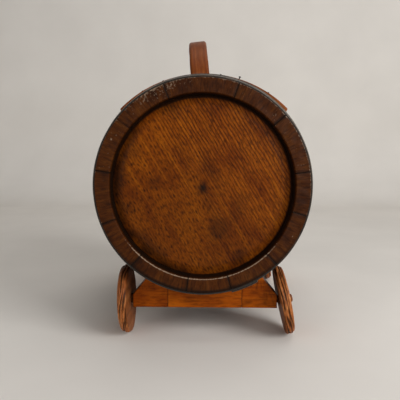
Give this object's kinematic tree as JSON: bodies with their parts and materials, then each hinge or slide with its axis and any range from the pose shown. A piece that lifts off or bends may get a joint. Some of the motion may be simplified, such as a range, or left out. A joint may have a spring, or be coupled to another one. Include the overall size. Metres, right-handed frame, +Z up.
{
  "type": "oak cask liquor dispenser",
  "caption": "Bulged oak cask with iron hoops and a bow handle, lying on a wheeled oak cradle, with a bung on top and a turned wooden tap in one head.",
  "frame": {"origin": "middle of the whole on the floor under the wheels", "axes": "+Z up, Y along the cask with the plain head towards -Y and the tap towards +Y"},
  "size_m": [0.226, 0.3326, 0.3025],
  "materials": {
    "oak_stave": "dark stained oak, end grain scuffed at the chime",
    "oak_head": "orange-brown stained oak, satin",
    "hoop_iron": "black iron, edge worn bright",
    "oak_batten": "orange-red stained oak",
    "nail_iron": "dark forged iron",
    "oak_handle": "waxed oak, edges worn round",
    "bung_wood": "turned hardwood",
    "tap_wood": "turned hardwood, oiled",
    "cork": "natural cork",
    "oak_rail": "orange-brown stained oak, satin",
    "oak_wheel": "paler turned oak",
    "peg_wood": "turned hardwood"
  },
  "bodies": {
    "cradle": {"rail_near_left": "oak_rail", "rail_near_centre": "oak_rail", "rail_near_right": "oak_rail", "rail_far_left": "oak_rail", "rail_far_centre": "oak_rail", "rail_far_right": "oak_rail", "runner_left": "oak_rail", "runner_right": "oak_rail", "axle_pegs": "peg_wood"},
    "cask": {"stave_01": "oak_stave", "stave_02": "oak_stave", "stave_03": "oak_stave", "stave_04": "oak_stave", "stave_05": "oak_stave", "stave_06": "oak_stave", "stave_07": "oak_stave", "stave_08": "oak_stave", "stave_09": "oak_stave", "stave_10": "oak_stave", "stave_11": "oak_stave", "stave_12": "oak_stave", "head_plain": "oak_head", "head_tap": "oak_head", "hoop_head_near": "hoop_iron", "hoop_head_far": "hoop_iron", "hoop_quarter_near": "hoop_iron", "hoop_quarter_far": "hoop_iron", "hoop_bilge_near": "hoop_iron", "hoop_bilge_far": "hoop_iron", "hoop_rivets": "hoop_iron", "batten_near": "oak_batten", "batten_far": "oak_batten", "batten_nails_near": "nail_iron", "batten_nails_far": "nail_iron", "handle": "oak_handle", "handle_nails": "nail_iron", "tap_body": "tap_wood", "tap_cork": "cork", "tap_spout": "tap_wood"},
    "bung": {"bung": "bung_wood"},
    "tap_key": {"tap_key": "tap_wood"},
    "wheel_near_left": {"wheel_near_left": "oak_wheel"},
    "wheel_near_right": {"wheel_near_right": "oak_wheel"},
    "wheel_far_left": {"wheel_far_left": "oak_wheel"},
    "wheel_far_right": {"wheel_far_right": "oak_wheel"}
  },
  "joints": [
    {"name": "cask_lift", "type": "slide", "parent": "cradle", "child": "cask", "axis": [0, 0, 1], "range_m": [0, 0.12]},
    {"name": "bung_pull", "type": "slide", "parent": "cask", "child": "bung", "axis": [0, 0, 1], "range_m": [0, 0.017]},
    {"name": "tap_key_turn", "type": "hinge", "parent": "cask", "child": "tap_key", "pos_m": [0, 0.12925, 0.09807], "axis": [0, 0, 1], "range_deg": [0, 90]},
    {"name": "wheel_near_left_spin", "type": "hinge", "parent": "cradle", "child": "wheel_near_left", "pos_m": [-0.0769, -0.13125, 0.034], "axis": [-0.9995, 0, -0.0332], "continuous": true},
    {"name": "wheel_near_right_spin", "type": "hinge", "parent": "cradle", "child": "wheel_near_right", "pos_m": [0.0809, -0.13125, 0.03413], "axis": [0.9813, 0, 0.1925], "continuous": true},
    {"name": "wheel_far_left_spin", "type": "hinge", "parent": "cradle", "child": "wheel_far_left", "pos_m": [-0.0769, 0.07875, 0.034], "axis": [-0.9995, 0, -0.0332], "continuous": true},
    {"name": "wheel_far_right_spin", "type": "hinge", "parent": "cradle", "child": "wheel_far_right", "pos_m": [0.0809, 0.07875, 0.03413], "axis": [0.9813, 0, 0.1925], "continuous": true}
  ]
}
